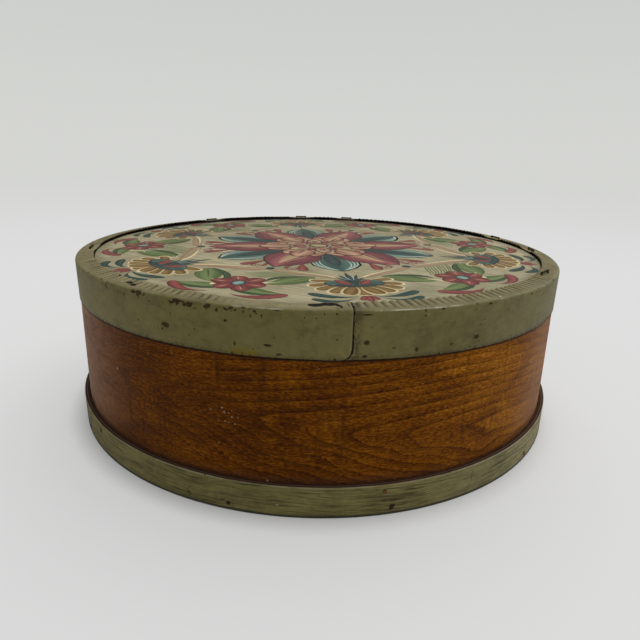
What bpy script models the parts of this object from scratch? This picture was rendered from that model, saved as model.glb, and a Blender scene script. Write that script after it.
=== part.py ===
"""Round cheese box: a bent veneer wall on a board bottom, held by a nailed wooden hoop at its foot.

The lid is one painted board in a tin band. The band's top is turned in over the board and crimped
into pleats, its ends lap at the front, and staples hold it down. The lid lifts straight off.
The box stands on z = 0 with its axis on +Z, and its front is -Y. All sizes are in metres.
"""
import bmesh
import bpy
from math import cos, degrees, exp, pi, radians, sin
from mathutils import Matrix, Vector

# Whole box
BOX_HEIGHT = 0.1241
CLEARANCE = 0.0003
OVERRUN = 0.004
MERGE_DISTANCE = 0.000005
COLUMN_COUNT = 96

# Tin band of the lid, measured over the tin
LID_RADIUS = 0.1900
TIN_THICKNESS = 0.0005
BAND_DEPTH = 0.0272
BEND_RADIUS = 0.0015
FLANGE_WIDTH = 0.0125
FLANGE_RISE = 0.0013
PLEAT_DEPTH = 0.0012
PLEAT_COUNT = 240
SEAM_ANGLE = -82.5
SEAM_LAP_COLUMNS = 2
SEAM_RAMP_COLUMNS = 3
SEAM_CORNER = 0.006
SEAM_CORNER_STEPS = 3
BEATEN_ANGLE = -94.0
BEATEN_SPREAD = 12.0
BEATEN_SHARE = 0.8

# Painted board of the lid
LID_BOARD_THICKNESS = 0.0065
LID_BOARD_FALL = 0.0005

# Staples that hold the flange down, by angle, and the one that has worked loose
STAPLE_ANGLES = (-167.0, 0.5, 20.5, 80.5, 97.5, 131.5)
STAPLE_CROWN = 0.0120
STAPLE_LEG = 0.0062
STAPLE_WIRE = 0.0011
STAPLE_INSET = 0.0080
STAPLE_PRESS_SHARE = 0.8
STAPLE_PRESS_REACH = 2.4
STAPLE_PRESS_FADE = 2.5
LOOSE_STAPLE_ANGLE = -31.0
LOOSE_STAPLE_TURN = 12.0

# Bent veneer wall, flaring a little from the lid down to the hoop
WALL_THICKNESS = 0.0026
WALL_FLARE = 0.0016
LID_PLAY = 0.0005
WALL_LAP_ANGLE = 97.5
WALL_LAP_COLUMNS = 5
LAP_TIP = 0.0008

# Tacks down the wall's lap
TACK_ROWS = 4
TACK_COLUMN_ANGLES = (82.0, 94.0)
TACK_MARGIN = 0.012
TACK_HEAD_RADIUS = 0.0022
TACK_HEAD_THICKNESS = 0.0005
TACK_SHANK_RADIUS = 0.0006
TACK_CLENCH_RADIUS = 0.0014
TACK_CLENCH_THICKNESS = 0.0004

# Bottom boards
BOTTOM_THICKNESS = 0.0095
MIDDLE_BOARD_WIDTH = 0.134

# Wooden hoop round the foot
HOOP_HEIGHT = 0.0207
HOOP_THICKNESS = 0.0035
HOOP_LAP_ANGLE = -150.0
HOOP_LAP_COLUMNS = 5

# Nails through the hoop, by angle and height
NAIL_HEIGHT = 0.0050
NAIL_ANGLES = (-111.5, -103.7, -75.8, -40.5, -12.0, 21.0, 52.0, 76.0, 113.0, 152.0)
UPPER_NAIL_HEIGHT = 0.0162
UPPER_NAIL_ANGLES = (-77.2, 63.0)
LAP_NAIL_ANGLES = (-146.5, -138.0)
LAP_NAIL_SPREAD = 0.0100
NAIL_LENGTH = 0.0200
BRAD_LENGTH = 0.0056
NAIL_POINT = 0.0020
NAIL_HEAD_RADIUS = 0.0017
NAIL_HEAD_THICKNESS = 0.0004
NAIL_SHANK_RADIUS = 0.0007
NAIL_SIDES = 8

# Sizes that follow from those above
COLUMN_STEP = 360 / COLUMN_COUNT
BAND_FOOT = BOX_HEIGHT - BAND_DEPTH
TIN_INNER_RADIUS = LID_RADIUS - TIN_THICKNESS
SEAM_LIFT = TIN_THICKNESS + CLEARANCE
LID_BOARD_TOP = BOX_HEIGHT - TIN_THICKNESS - CLEARANCE
LID_BOARD_FOOT = LID_BOARD_TOP - LID_BOARD_THICKNESS
WALL_TOP = LID_BOARD_FOOT - CLEARANCE
WALL_RIM_RADIUS = TIN_INNER_RADIUS - LID_PLAY
WALL_FOOT_RADIUS = WALL_RIM_RADIUS + WALL_FLARE
BOTTOM_RADIUS = WALL_FOOT_RADIUS - WALL_THICKNESS - CLEARANCE
HOOP_INNER_RADIUS = WALL_FOOT_RADIUS + CLEARANCE
HOOP_OUTER_RADIUS = HOOP_INNER_RADIUS + HOOP_THICKNESS

# Colours, roughness and metallic value of each finish
FINISHES = {
    "painted_tin": ((0.115, 0.115, 0.062), 0.50, 0.0),
    "painted_board": ((0.240, 0.222, 0.155), 0.60, 0.0),
    "varnished_veneer": ((0.180, 0.062, 0.014), 0.38, 0.0),
    "painted_hoop": ((0.130, 0.130, 0.068), 0.55, 0.0),
    "bare_board": ((0.420, 0.270, 0.140), 0.75, 0.0),
    "rusty_wire": ((0.090, 0.050, 0.030), 0.60, 0.8),
}


def clear_scene():
    for thing in list(bpy.data.objects):
        bpy.data.objects.remove(thing, do_unlink=True)


def make_finish(name):
    colour, roughness, metallic = FINISHES[name]
    material = bpy.data.materials.new(name)
    material.use_nodes = True
    shader = material.node_tree.nodes["Principled BSDF"]
    shader.inputs["Base Color"].default_value = (*colour, 1)
    shader.inputs["Roughness"].default_value = roughness
    shader.inputs["Metallic"].default_value = metallic
    material.diffuse_color = (*colour, 1)
    return material


def make_mesh(name, bm, finish=None):
    """Turn a finished bmesh into a mesh with its finish, smooth but for its edges."""
    bmesh.ops.recalc_face_normals(bm, faces=bm.faces)
    mesh = bpy.data.meshes.new(name)
    bm.to_mesh(mesh)
    bm.free()
    mesh.shade_smooth()
    mesh.set_sharp_from_angle(angle=radians(30))
    if finish:
        mesh.materials.append(finish)
    return mesh


def place_piece(name, mesh, place=Matrix(), carrier=None):
    """Put a named piece in its place, riding on the empty that carries it."""
    piece = bpy.data.objects.new(name, mesh)
    piece.matrix_basis = place
    bpy.context.scene.collection.objects.link(piece)
    if carrier:
        piece.parent = carrier
        piece.matrix_parent_inverse = carrier.matrix_world.inverted()
    return piece


def make_object(name, bm, finish=None, carrier=None):
    return place_piece(name, make_mesh(name, bm, finish), carrier=carrier)


def make_carrier(name, height):
    """An empty on the lid's line of travel, which the lid's pieces ride on."""
    carrier = bpy.data.objects.new(name, None)
    carrier.matrix_world = Matrix.Translation((0, 0, height))
    bpy.context.scene.collection.objects.link(carrier)
    return carrier


def on_round(angle, radius, height):
    turn = radians(angle)
    return Vector((radius * cos(turn), radius * sin(turn), height))


def add_copy(target, body):
    """Add a body to a group of separate bodies."""
    mesh = bpy.data.meshes.new("body")
    body.to_mesh(mesh)
    body.free()
    target.from_mesh(mesh)
    bpy.data.meshes.remove(mesh)


def cut_away(piece, cutter):
    bores = piece.modifiers.new("bores", "BOOLEAN")
    bores.operation = "DIFFERENCE"
    bores.solver = "EXACT"
    bores.object = cutter


def make_cutter(name, bm):
    cutter = make_object(name, bm)
    cutter.hide_render = True
    cutter.display_type = "WIRE"
    return cutter


def loft(sections):
    """One closed body through a row of cross-sections with equal numbers of points."""
    bm = bmesh.new()
    rings = [[bm.verts.new(point) for point in section] for section in sections]
    for near, far in zip(rings, rings[1:]):
        for k in range(len(near)):
            bm.faces.new((near[k - 1], near[k], far[k], far[k - 1]))
    bm.faces.new(rings[0])
    bm.faces.new(list(reversed(rings[-1])))
    return bm


def scarfed_stations(start, lap_columns, thickness, radius):
    """Stations of a strip bent once round, whose thinned ends lap within its own thickness.

    Each station is an angle, what is shaved off the inner face and what is shaved off the outer.
    """
    gap = degrees(CLEARANCE / radius)
    lap = lap_columns * COLUMN_STEP
    step = LAP_TIP + CLEARANCE
    slope = thickness - LAP_TIP - step
    stations = []
    for k in range(lap_columns + 1):
        stations.append((start + k * COLUMN_STEP, 0, thickness - LAP_TIP - slope * k / lap_columns))
    stations.append((start + lap + gap, 0, step))
    stations.append((start + lap + 2 * gap, 0, 0))
    for k in range(lap_columns + 1, COLUMN_COUNT):
        stations.append((start + k * COLUMN_STEP, 0, 0))
    stations.append((start + 360 - 2 * gap, 0, 0))
    stations.append((start + 360 - gap, step, 0))
    for k in range(lap_columns + 1):
        stations.append((start + 360 + k * COLUMN_STEP, step + slope * k / lap_columns, 0))
    return stations


def bent_strip(outline, thickness, end_angle, lap_columns, hand):
    """A strip of wood bent round +Z. outline is its outer face, as radii and heights from the foot up.

    Its outer end is at end_angle, and hand tells which way round the strip runs to it.
    """
    start = hand * end_angle - lap_columns * COLUMN_STEP
    sections = []
    for angle, inner_cut, outer_cut in scarfed_stations(start, lap_columns, thickness, outline[0][0]):
        outer = [on_round(hand * angle, radius - outer_cut, height) for radius, height in outline]
        inner = [on_round(hand * angle, radius - thickness + inner_cut, height)
                 for radius, height in reversed(outline)]
        sections.append(outer + inner)
    return loft(sections)


def turned_pin(profile, sides):
    """A pin turned round +X. profile is its distances and radii, from the point to the head."""
    bm = bmesh.new()
    points = [bm.verts.new((distance, 0, radius)) for distance, radius in profile]
    edges = [bm.edges.new(pair) for pair in zip(points, points[1:])]
    bmesh.ops.spin(bm, geom=points + edges, cent=(0, 0, 0), axis=(1, 0, 0), angle=2 * pi,
                   steps=sides, use_merge=True)
    bmesh.ops.remove_doubles(bm, verts=bm.verts, dist=MERGE_DISTANCE)
    bmesh.ops.recalc_face_normals(bm, faces=bm.faces)
    return bm


def aimed_in(angle, radius, height):
    """The place of a pin made along +X, which then points at the axis from the given radius."""
    return Matrix.Translation(on_round(angle, radius, height)) @ Matrix.Rotation(radians(angle), 4, "Z")


def bored(bm, places):
    """One cutter from copies of a bore at each place."""
    mesh = make_mesh("bore", bm)
    cutter = bmesh.new()
    for place in places:
        bore = bmesh.new()
        bore.from_mesh(mesh)
        bmesh.ops.transform(bore, matrix=place, verts=bore.verts)
        add_copy(cutter, bore)
    bpy.data.meshes.remove(mesh)
    return cutter


def nail_sets():
    """The kinds of nail in the hoop: name, length under the head, and places as angle and height."""
    lap_height = HOOP_HEIGHT / 2
    spread = LAP_NAIL_SPREAD / 2
    return (
        ("hoop_nail", NAIL_LENGTH, [(angle, NAIL_HEIGHT) for angle in NAIL_ANGLES]),
        ("hoop_brad", BRAD_LENGTH, [(angle, UPPER_NAIL_HEIGHT) for angle in UPPER_NAIL_ANGLES]),
        ("hoop_lap_brad", BRAD_LENGTH, [(angle, lap_height + side * spread)
                                        for side, angle in zip((-1, 1), LAP_NAIL_ANGLES)]),
    )


def make_nails(finish):
    """Drive the hoop's nails, and return the cutter for their bores."""
    bores = bmesh.new()
    seat = HOOP_OUTER_RADIUS + CLEARANCE
    bore = NAIL_SHANK_RADIUS + CLEARANCE
    for name, length, spots in nail_sets():
        profile = [(-length, 0), (NAIL_POINT - length, NAIL_SHANK_RADIUS), (0, NAIL_SHANK_RADIUS),
                   (0, NAIL_HEAD_RADIUS), (NAIL_HEAD_THICKNESS, NAIL_HEAD_RADIUS), (NAIL_HEAD_THICKNESS, 0)]
        hole = [(-length - CLEARANCE, 0), (-length - CLEARANCE, bore), (OVERRUN, bore), (OVERRUN, 0)]
        nail = make_mesh(name, turned_pin(profile, NAIL_SIDES), finish)
        places = [aimed_in(angle, seat, height) for angle, height in spots]
        for number, place in enumerate(places, 1):
            place_piece(f"{name}_{number:02d}", nail, place)
        add_copy(bores, bored(turned_pin(hole, NAIL_SIDES), places))
    return make_cutter("nail_bores", bores)


def wall_radius_at(height):
    """Outer radius of the flaring wall between the hoop's top and the band's foot."""
    share = (height - HOOP_HEIGHT) / (BAND_FOOT - HOOP_HEIGHT)
    return WALL_FOOT_RADIUS + (WALL_RIM_RADIUS - WALL_FOOT_RADIUS) * min(max(share, 0), 1)


def make_tacks(finish):
    """Rows of tacks through the wall's lap, each clenched on the inside. Returns their bores."""
    low = HOOP_HEIGHT + TACK_MARGIN
    rise = (BAND_FOOT - TACK_MARGIN - low) / (TACK_ROWS - 1)
    clench = -WALL_THICKNESS - 2 * CLEARANCE
    profile = [(clench - TACK_CLENCH_THICKNESS, 0), (clench - TACK_CLENCH_THICKNESS, TACK_CLENCH_RADIUS),
               (clench, TACK_CLENCH_RADIUS), (clench, TACK_SHANK_RADIUS), (0, TACK_SHANK_RADIUS),
               (0, TACK_HEAD_RADIUS), (TACK_HEAD_THICKNESS, TACK_HEAD_RADIUS), (TACK_HEAD_THICKNESS, 0)]
    bore = TACK_SHANK_RADIUS + CLEARANCE
    hole = [(clench - OVERRUN, 0), (clench - OVERRUN, bore), (OVERRUN, bore), (OVERRUN, 0)]
    heights = [low + row * rise for row in range(TACK_ROWS)]
    places = [aimed_in(angle, wall_radius_at(height) + CLEARANCE, height)
              for angle in TACK_COLUMN_ANGLES for height in heights]
    tack = make_mesh("wall_tack", turned_pin(profile, NAIL_SIDES), finish)
    for number, place in enumerate(places, 1):
        place_piece(f"wall_tack_{number:02d}", tack, place)
    return make_cutter("tack_bores", bored(turned_pin(hole, NAIL_SIDES), places))


def make_wall():
    outline = [(WALL_FOOT_RADIUS, CLEARANCE), (WALL_FOOT_RADIUS, HOOP_HEIGHT),
               (WALL_RIM_RADIUS, BAND_FOOT), (WALL_RIM_RADIUS, WALL_TOP)]
    return bent_strip(outline, WALL_THICKNESS, WALL_LAP_ANGLE, WALL_LAP_COLUMNS, 1)


def make_hoop():
    outline = [(HOOP_OUTER_RADIUS, 0), (HOOP_OUTER_RADIUS, HOOP_HEIGHT)]
    return bent_strip(outline, HOOP_THICKNESS, HOOP_LAP_ANGLE, HOOP_LAP_COLUMNS, -1)


def disc(radius, low, high):
    """A round board with its facets in line with the columns of the bent strips."""
    bm = bmesh.new()
    bmesh.ops.create_cone(bm, cap_ends=True, segments=COLUMN_COUNT, radius1=radius, radius2=radius,
                          depth=high - low)
    bmesh.ops.translate(bm, vec=(0, 0, (low + high) / 2), verts=bm.verts)
    return bm


def make_lid_board():
    """The lid's board. Its face is flat up to the flange and falls a little from there to an eased rim."""
    rim = TIN_INNER_RADIUS - CLEARANCE
    ease = BEND_RADIUS - TIN_THICKNESS
    fallen = LID_BOARD_TOP - LID_BOARD_FALL
    profile = [(rim, LID_BOARD_FOOT), (rim, fallen - ease), (rim - ease, fallen),
               (LID_RADIUS - FLANGE_WIDTH - CLEARANCE, LID_BOARD_TOP)]
    return loft([[on_round(k * COLUMN_STEP, radius, height) for k in range(COLUMN_COUNT)]
                 for radius, height in profile])


def sawn(bm, edge, side):
    """Keep what lies behind the saw line y = edge, seen along side."""
    bmesh.ops.bisect_plane(bm, geom=bm.verts[:] + bm.edges[:] + bm.faces[:], plane_co=(0, edge, 0),
                           plane_no=(0, side, 0), clear_outer=True, dist=MERGE_DISTANCE)
    bmesh.ops.holes_fill(bm, edges=[edge for edge in bm.edges if edge.is_boundary], sides=0)
    return bm


def make_bottom_boards():
    """Three boards edge to edge, sawn to one round."""
    half = MIDDLE_BOARD_WIDTH / 2
    boards = {"bottom_board_middle": sawn(sawn(disc(BOTTOM_RADIUS, 0, BOTTOM_THICKNESS), half, 1), -half, -1)}
    for name, side in (("bottom_board_front", -1), ("bottom_board_back", 1)):
        boards[name] = sawn(disc(BOTTOM_RADIUS, 0, BOTTOM_THICKNESS), side * (half + CLEARANCE), -side)
    return boards


def stitch(bm, lower, upper):
    """Join two rows of (angle, vertex) with triangles, always to the nearer next point."""
    low, up = 0, 0
    while low < len(lower) - 1 or up < len(upper) - 1:
        next_low = lower[low + 1][0] if low < len(lower) - 1 else None
        next_up = upper[up + 1][0] if up < len(upper) - 1 else None
        if next_up is None or (next_low is not None and next_low <= next_up):
            bm.faces.new((lower[low][1], lower[low + 1][1], upper[up][1]))
            low += 1
        else:
            bm.faces.new((lower[low][1], upper[up + 1][1], upper[up][1]))
            up += 1


def seam_lift_at(angle, start):
    """How far the band stands off where its outer end climbs over the inner one."""
    climb_end = start + 360 - COLUMN_STEP
    climb = SEAM_RAMP_COLUMNS * COLUMN_STEP
    return SEAM_LIFT * min(max((angle - climb_end + climb) / climb, 0), 1)


def corner_rise_at(angle, end):
    """How far the foot of the band is rounded up at the outer end's corner."""
    along = radians(end - angle) * LID_RADIUS
    if along >= SEAM_CORNER:
        return 0
    return SEAM_CORNER - (SEAM_CORNER ** 2 - (SEAM_CORNER - along) ** 2) ** 0.5


def flattened_share_at(angle):
    """Share of the flange's rise that is gone, where it is beaten down or under a driven staple."""
    beaten = BEATEN_SHARE * exp(-((angle - BEATEN_ANGLE) / BEATEN_SPREAD) ** 4)
    beside = min(abs(angle - staple) for staple in STAPLE_ANGLES) - STAPLE_PRESS_REACH
    pressed = STAPLE_PRESS_SHARE * min(max(1 - beside / STAPLE_PRESS_FADE, 0), 1)
    return max(beaten, pressed)


def pleat_height_at(angle):
    """Height of the flange's inner edge over its outer one, at the crests and hollows of the pleats."""
    half_pitch = 180 / PLEAT_COUNT
    side = 1 if round(angle / half_pitch) % 2 else -1
    return (FLANGE_RISE + side * PLEAT_DEPTH / 2) * (1 - flattened_share_at(angle))


def even_angles(start, end, step):
    """Multiples of a step between two ends, which are in the list too."""
    first = round(start / step)
    last = round(end / step)
    return [start] + [k * step for k in range(first + 1, last)] + [end]


def make_tin_band():
    """The lid's tin, one strip with its ends lapped at the seam, its top turned in and pleated."""
    start = SEAM_ANGLE - SEAM_LAP_COLUMNS * COLUMN_STEP
    end = SEAM_ANGLE + 360
    wall_angles = even_angles(start, end, COLUMN_STEP)
    corner_turn = pi / 2 / SEAM_CORNER_STEPS
    for k in range(SEAM_CORNER_STEPS):
        wall_angles.append(end - degrees(SEAM_CORNER * (1 - sin(k * corner_turn)) / LID_RADIUS))
    wall_angles = sorted(set(wall_angles))
    bend_angles = even_angles(start, end, 360 / PLEAT_COUNT)
    edge_angles = even_angles(start, end, 180 / PLEAT_COUNT)
    turned_radius = LID_RADIUS - BEND_RADIUS
    bend_inset = BEND_RADIUS * (1 - cos(pi / 4))
    edge_radius = LID_RADIUS - FLANGE_WIDTH
    bm = bmesh.new()

    def row(angles, radius, height_at):
        points = []
        for angle in angles:
            lift = seam_lift_at(angle, start)
            height = height_at(angle) + (lift if height_at(angle) > BAND_FOOT + SEAM_CORNER else 0)
            points.append((angle, bm.verts.new(on_round(angle, radius + lift, height))))
        return points

    def foot(angle):
        return BAND_FOOT + corner_rise_at(angle, end)

    def edge(angle):
        return BOX_HEIGHT + pleat_height_at((angle + 180) % 360 - 180)

    rows = [
        row(wall_angles, LID_RADIUS, foot),
        row(wall_angles, LID_RADIUS, lambda angle: BOX_HEIGHT - BEND_RADIUS),
        row(wall_angles, LID_RADIUS - bend_inset, lambda angle: BOX_HEIGHT - bend_inset),
        row(bend_angles, turned_radius, lambda angle: BOX_HEIGHT),
        row(edge_angles, edge_radius, edge),
        row(edge_angles, edge_radius, lambda angle: edge(angle) - TIN_THICKNESS),
        row(bend_angles, turned_radius, lambda angle: BOX_HEIGHT - TIN_THICKNESS),
        row(wall_angles, TIN_INNER_RADIUS, lambda angle: BOX_HEIGHT - BEND_RADIUS),
        row(wall_angles, TIN_INNER_RADIUS, foot),
    ]
    for lower, upper in zip(rows, rows[1:] + rows[:1]):
        stitch(bm, lower, upper)
    bm.faces.new([line[0][1] for line in rows])
    bm.faces.new([line[-1][1] for line in reversed(rows)])
    return bm


def staple_outline(crown, leg, wire):
    """A staple seen from its side, in the XZ plane with its crown's underside at z = 0."""
    half = crown / 2
    return [(-half, -leg), (wire - half, -leg), (wire - half, 0), (half - wire, 0), (half - wire, -leg),
            (half, -leg), (half, wire), (-half, wire)]


def staple(outline, width):
    bm = bmesh.new()
    side = bm.faces.new([bm.verts.new((x, -width / 2, z)) for x, z in outline])
    grown = bmesh.ops.extrude_face_region(bm, geom=[side])["geom"]
    bmesh.ops.translate(bm, vec=(0, width, 0), verts=[v for v in grown if isinstance(v, bmesh.types.BMVert)])
    bmesh.ops.recalc_face_normals(bm, faces=bm.faces)
    return bm


def staple_place(angle, turn=0, pressed=STAPLE_PRESS_SHARE):
    """A staple lies along the flange, over the crests of pleats that it has pressed down by a share."""
    crest = (FLANGE_RISE + PLEAT_DEPTH / 2) * (1 - pressed)
    spot = on_round(angle, LID_RADIUS - STAPLE_INSET, BOX_HEIGHT + crest + CLEARANCE)
    return Matrix.Translation(spot) @ Matrix.Rotation(radians(angle + 90 - turn), 4, "Z")


def staple_slots():
    """The two slots that a staple's legs pass through, one body each."""
    slots = bmesh.new()
    width = STAPLE_WIRE + 2 * CLEARANCE
    reach = STAPLE_LEG + CLEARANCE
    for side in (-1, 1):
        slot = bmesh.new()
        bmesh.ops.create_cube(slot, size=1)
        bmesh.ops.scale(slot, vec=(width, width, reach + OVERRUN), verts=slot.verts)
        centre = side * (STAPLE_CROWN - STAPLE_WIRE) / 2
        bmesh.ops.translate(slot, vec=(centre, 0, (OVERRUN - reach) / 2), verts=slot.verts)
        add_copy(slots, slot)
    return slots


def make_staples(finish, carrier):
    """Drive the staples over the flange, and return the cutter for their legs' slots."""
    outline = staple_outline(STAPLE_CROWN, STAPLE_LEG, STAPLE_WIRE)
    wire = make_mesh("flange_staple", staple(outline, STAPLE_WIRE), finish)
    places = [staple_place(angle) for angle in STAPLE_ANGLES]
    for number, place in enumerate(places, 1):
        place_piece(f"flange_staple_{number:02d}", wire, place, carrier)
    place_piece("loose_staple", wire, staple_place(LOOSE_STAPLE_ANGLE, LOOSE_STAPLE_TURN, 0), carrier)
    places.append(staple_place(LOOSE_STAPLE_ANGLE, LOOSE_STAPLE_TURN))
    return make_cutter("staple_slots", bored(staple_slots(), places))


def build_box(finishes):
    nail_bores = make_nails(finishes["rusty_wire"])
    tack_bores = make_tacks(finishes["rusty_wire"])
    wall = make_object("side_wall", make_wall(), finishes["varnished_veneer"])
    hoop = make_object("bottom_hoop", make_hoop(), finishes["painted_hoop"])
    boards = [make_object(name, board, finishes["bare_board"]) for name, board in make_bottom_boards().items()]
    for piece in [wall, hoop] + boards:
        cut_away(piece, nail_bores)
    cut_away(wall, tack_bores)


def build_lid(finishes):
    carrier = make_carrier("lid", WALL_TOP)
    bpy.context.view_layer.update()
    slots = make_staples(finishes["rusty_wire"], carrier)
    board = make_object("lid_board", make_lid_board(), finishes["painted_board"], carrier)
    band = make_object("lid_tin_band", make_tin_band(), finishes["painted_tin"], carrier)
    for piece in (board, band):
        cut_away(piece, slots)


def main():
    clear_scene()
    finishes = {name: make_finish(name) for name in FINISHES}
    build_box(finishes)
    build_lid(finishes)


main()
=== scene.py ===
"""Looks of the round cheese box: bent veneer, painted hoop, and a lid of painted board in a tin band.

Lengths are in metres. MM turns the small sizes, given in millimetres, into metres. Angles round the box are
in degrees, with the front at -90.
"""
import random
from math import atan2, cos, degrees, exp, pi, radians, sin, sqrt

import bmesh
import bpy
from mathutils import Matrix, Vector, noise


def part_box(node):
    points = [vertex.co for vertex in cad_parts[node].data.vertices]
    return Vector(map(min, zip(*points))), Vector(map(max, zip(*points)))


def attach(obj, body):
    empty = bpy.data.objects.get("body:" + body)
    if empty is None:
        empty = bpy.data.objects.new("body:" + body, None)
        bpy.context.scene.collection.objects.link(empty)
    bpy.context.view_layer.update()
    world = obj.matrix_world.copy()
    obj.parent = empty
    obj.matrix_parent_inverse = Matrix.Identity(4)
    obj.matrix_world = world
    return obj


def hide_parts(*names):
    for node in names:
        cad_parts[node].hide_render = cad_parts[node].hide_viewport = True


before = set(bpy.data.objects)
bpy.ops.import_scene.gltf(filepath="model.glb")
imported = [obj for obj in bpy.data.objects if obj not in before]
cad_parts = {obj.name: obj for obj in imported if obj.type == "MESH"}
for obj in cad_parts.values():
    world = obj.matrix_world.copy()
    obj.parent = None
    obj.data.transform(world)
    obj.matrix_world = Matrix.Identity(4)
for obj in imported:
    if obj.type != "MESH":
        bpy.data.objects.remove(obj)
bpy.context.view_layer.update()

MM = 0.001
random.seed(7)

# Sizes read from the frame
WALL_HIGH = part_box("side_wall")[1]
HOOP_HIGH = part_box("bottom_hoop")[1]
BAND_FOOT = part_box("lid_tin_band")[0].z
BOARD_LOW, BOARD_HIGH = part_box("lid_board")
BOARD_TOP = BOARD_HIGH.z

# How finely round pieces, bent strips and pins are cut
ROUND_STEPS, STRIP_STEPS, PIN_STEPS = 240, 360, 20

# Scarfed laps of the bent strips: the step where a scarf starts, in degrees, and the gap between its tails
SCARF_STEP, SCARF_GAP = 0.02, 0.04 * MM

# Bent veneer of the wall
WALL_FOOT_RADIUS = WALL_HIGH.x
WALL_FLARE = 1.6 * MM
WALL_THICKNESS = 2.6 * MM
WALL_LAP, WALL_LAP_WIDTH = 97.5, 18.0
WALL_TIP, WALL_EASE, WALL_ROWS = 0.8 * MM, 0.35 * MM, 24
# Its flame of late wood: where the innermost arch peaks, and how wide, far apart and long the arches are
FLAME_APEX, FLAME_HEIGHT = -72.7, 48.7 * MM
FLAME_WIDTH, FLAME_SPACING, FLAME_LENGTH = 6 * MM, 30 * MM, 75 * MM
# Pale chips in the varnish: angle, height, size across and how many times longer each is, in millimetres
VARNISH_CHIPS = ((-130.2, 68.5, 1.0, 1.1), (-106.0, 41.0, 0.4, 1.6), (-71.0, 80.0, 0.4, 1.5),
                 (-88.8, 91.5, 0.4, 1.0), (-97.2, 20.6, 1.1, 0.8))

# Hoop round the foot
HOOP_RADIUS = HOOP_HIGH.x
HOOP_THICKNESS = 3.5 * MM
HOOP_LAP, HOOP_LAP_WIDTH = -150.0, 18.0
HOOP_TIP, HOOP_EASE, HOOP_ROWS = 0.9 * MM, 0.5 * MM, 10
# Dark dents and a pale one, given as the varnish's chips are
HOOP_DENTS = ((-104.9, 6.4, 0.55, 4.0), (-75.4, 5.6, 1.5, 1.5))
HOOP_PALE_DENT = ((-95.3, 8.0, 0.8, 1.8),)

# Tin band of the lid
BAND_RADIUS = 190.0 * MM
TIN = 0.5 * MM
BAND_TOP = 124.1 * MM
BEND = 1.5 * MM
FLANGE_INNER = 177.5 * MM
FLANGE_RISE = 1.3 * MM
SKIRT_ROWS, BEND_ROWS, FLANGE_ROWS = 7, 4, 9
# Its pleats, shallower round one angle. They wander and curl by shares of a pleat, and sink where pressed
PLEAT, PLEATS, COLUMNS_A_PLEAT = 1.2 * MM, 240, 8
SHALLOW, SHALLOW_SPREAD = -128.0, 34.0
PLEAT_WANDER, PLEAT_CURL = 0.25, 0.28
PLEAT_SINK = 0.15 * MM
# Its front lap, which climbs over the lower end, and how far skirt and foot stray from true
SEAM = -83.7
SEAM_LAP, LAP_CLIMB = 4.0, 2.0
SEAM_CORNER = 6.0 * MM
LAP_GAP = 0.12 * MM
SKIRT_STRAY, FOOT_STRAY, FOOT_LIFT = 0.18 * MM, 0.12 * MM, 0.15 * MM
# Where the flange is beaten down, and how the staples press it
BEATEN, BEATEN_SPREAD, BEATEN_SHARE = -95.0, 12.0, 0.92
STAPLE_PRESS, STAPLE_REACH, STAPLE_FADE = 0.8, 2.4, 2.5
# Rusty patches of the skirt, given as the varnish's chips are
RUSTY_PATCHES = (
    (-115.5, 107.8, 2.3, 1.8), (-102.5, 103.2, 2.0, 0.4), (-97.0, 103.8, 1.1, 3.2), (-95.1, 99.0, 1.0, 2.4),
    (-104.0, 115.5, 1.2, 1.5), (-99.8, 119.4, 1.0, 0.8), (-97.9, 119.8, 0.8, 0.8), (-122.8, 123.0, 1.5, 1.8),
    (-110.5, 121.2, 1.2, 2.0), (-107.0, 122.6, 2.0, 1.2), (-103.0, 122.8, 1.3, 1.4), (-81.3, 106.5, 2.0, 1.2),
    (-76.7, 103.0, 0.9, 1.6), (-72.8, 101.0, 1.8, 1.0), (-61.0, 104.0, 2.0, 1.8), (-58.5, 122.6, 0.9, 3.0),
    (-66.2, 102.0, 1.0, 1.6), (-68.5, 123.0, 0.8, 2.0), (-46.2, 122.2, 1.1, 1.4), (-81.6, 98.8, 1.4, 1.6))
# Painted shadow: black slits where the flange is torn and where its edge lifts off the board, standing in for
# the shade in those openings, with the distance from the axis in place of the height
SLIT_SHADOWS = (
    (-89.2, 180.0, 3.6, 1.7), (-87.2, 180.8, 2.9, 1.8), (-85.8, 183.0, 2.0, 0.8), (-85.4, 185.4, 1.8, 0.5),
    (-126.9, 182.6, 1.7, 1.7), (-125.0, 184.0, 1.6, 1.7), (-121.6, 188.6, 1.0, 2.2),
    (-132.6, 177.8, 1.0, 1.6), (-86.1, 188.2, 1.0, 1.0))

# Painted board of the lid: how far it falls at the rim, how far out it is flat, and how its edges are eased
BOARD_FALL = 0.5 * MM
BOARD_FLAT = 177.2 * MM
BOARD_EASE = 1.0 * MM

# Planks of the bottom, whose joints lie within this reach of the axis
PLANK_EASE = 0.5 * MM
JOINT_REACH = 1.2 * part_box("bottom_board_middle")[1].y

# Outlines of the pins: share of the head's radius, and millimetres from the tip or from the top
NAIL_POINT = ((0.0, 0.0), (0.3, 1.0))
CLENCHED_POINT = ((0.0, 0.0), (0.5, 0.1), (0.55, 0.45), (0.26, 0.5))
PIN_HEAD = ((0.42, -0.55), (0.96, -0.45), (1.0, -0.25), (0.7, -0.08), (0.0, 0.0))
NAIL_HEAD_SHARE = 0.8

# Ornament of the lid, repeated six times round on two sets of axes
TIMES_ROUND = 6
FAN_AXIS, PETAL_AXIS = -79.0, -109.0
# Thickness of a layer of paint, and the share of it that lifts each stroke over the one before
PAINT_LAYER, LIFT_A_STROKE = 0.02 * MM, 0.012
# In millimetres: where the fans stand, how far the hand sways, and where the middle flower gives way to what
# strays, and that to the steadier leaves at the rim
FAN_PLACE = 128
HAND_SWAY = 0.35
FLOWER_ENDS = (100, 115)
RIM_STARTS, RIM_STEADIES = (142, 156), 0.6
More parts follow.
